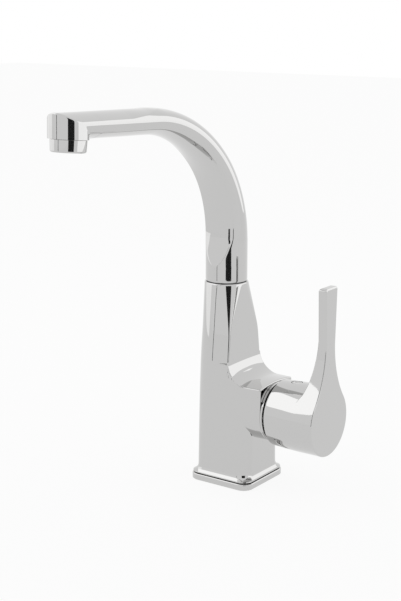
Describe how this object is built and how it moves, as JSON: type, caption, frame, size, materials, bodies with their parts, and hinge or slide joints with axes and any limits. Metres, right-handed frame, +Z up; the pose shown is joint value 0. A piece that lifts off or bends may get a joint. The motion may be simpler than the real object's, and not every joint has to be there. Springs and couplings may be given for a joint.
{
  "type": "gooseneck basin mixer",
  "caption": "Deck-mounted basin mixer: square column body, swivelling gooseneck spout with aerator, and a side lever that lifts and turns.",
  "frame": {"origin": "centre of the base plate's underside, on the axis of its round opening", "axes": "+Z up, -Y towards the outlet, +X towards the lever"},
  "size_m": [0.0957, 0.191, 0.259],
  "materials": {
    "polished_chrome": "mirror polished chrome plate",
    "black_rubber": "matte black rubber",
    "white_plastic": "plain white moulded plastic",
    "dark_plastic": "plain dark moulded plastic",
    "blue_plastic": "plain blue moulded plastic",
    "red_plastic": "plain red moulded plastic",
    "ceramic": "lapped white ceramic",
    "steel": "plain turned steel",
    "raw_brass": "plain turned brass"
  },
  "bodies": {
    "mixer": {"base_plate": "polished_chrome", "base_gasket": "black_rubber", "mixer_body": "polished_chrome", "neck_slide_ring": "dark_plastic", "spout_stop_screw": "steel", "cartridge_base": "white_plastic", "port_seals": "black_rubber", "fixed_ceramic_disc": "ceramic", "cartridge_housing": "white_plastic", "hot_limit_ring": "red_plastic", "cartridge_nut": "raw_brass", "trim_collar": "polished_chrome"},
    "turret": {"cartridge_rotor": "blue_plastic", "pivot_pin": "steel"},
    "lever": {"lever_stem": "steel", "lever_handle": "polished_chrome", "lever_grub_screw": "steel", "index_plug": "polished_chrome", "screw_cover": "polished_chrome"},
    "disc_slide": {"disc_carrier": "blue_plastic", "moving_ceramic_disc": "ceramic"},
    "spout": {"spout_tube": "polished_chrome", "upper_neck_bush": "white_plastic", "lower_neck_bush": "white_plastic", "neck_o_rings": "black_rubber", "outlet_washer": "black_rubber", "flow_regulator": "red_plastic", "aerator_insert": "white_plastic", "aerator_housing": "polished_chrome"}
  },
  "joints": [
    {"name": "temperature_turn", "type": "hinge", "parent": "mixer", "child": "turret", "pos_m": [0.024, 0, 0.052], "axis": [1, 0, 0], "range_deg": [-45, 45]},
    {"name": "lever_lift", "type": "hinge", "parent": "turret", "child": "lever", "pos_m": [0.024, 0, 0.052], "axis": [0, 1, 0], "range_deg": [0, 25]},
    {"name": "disc_travel", "type": "slide", "parent": "turret", "child": "disc_slide", "axis": [0, 0, 1], "range_m": [0, 0.0042]},
    {"name": "spout_swivel", "type": "hinge", "parent": "mixer", "child": "spout", "pos_m": [-0.00946, 0, 0.136], "axis": [0, 0, 1], "range_deg": [-60, 60]}
  ],
  "couplings": [
    {"joint": "disc_travel", "follows": "lever_lift", "m_per_rad": 0.0092}
  ]
}
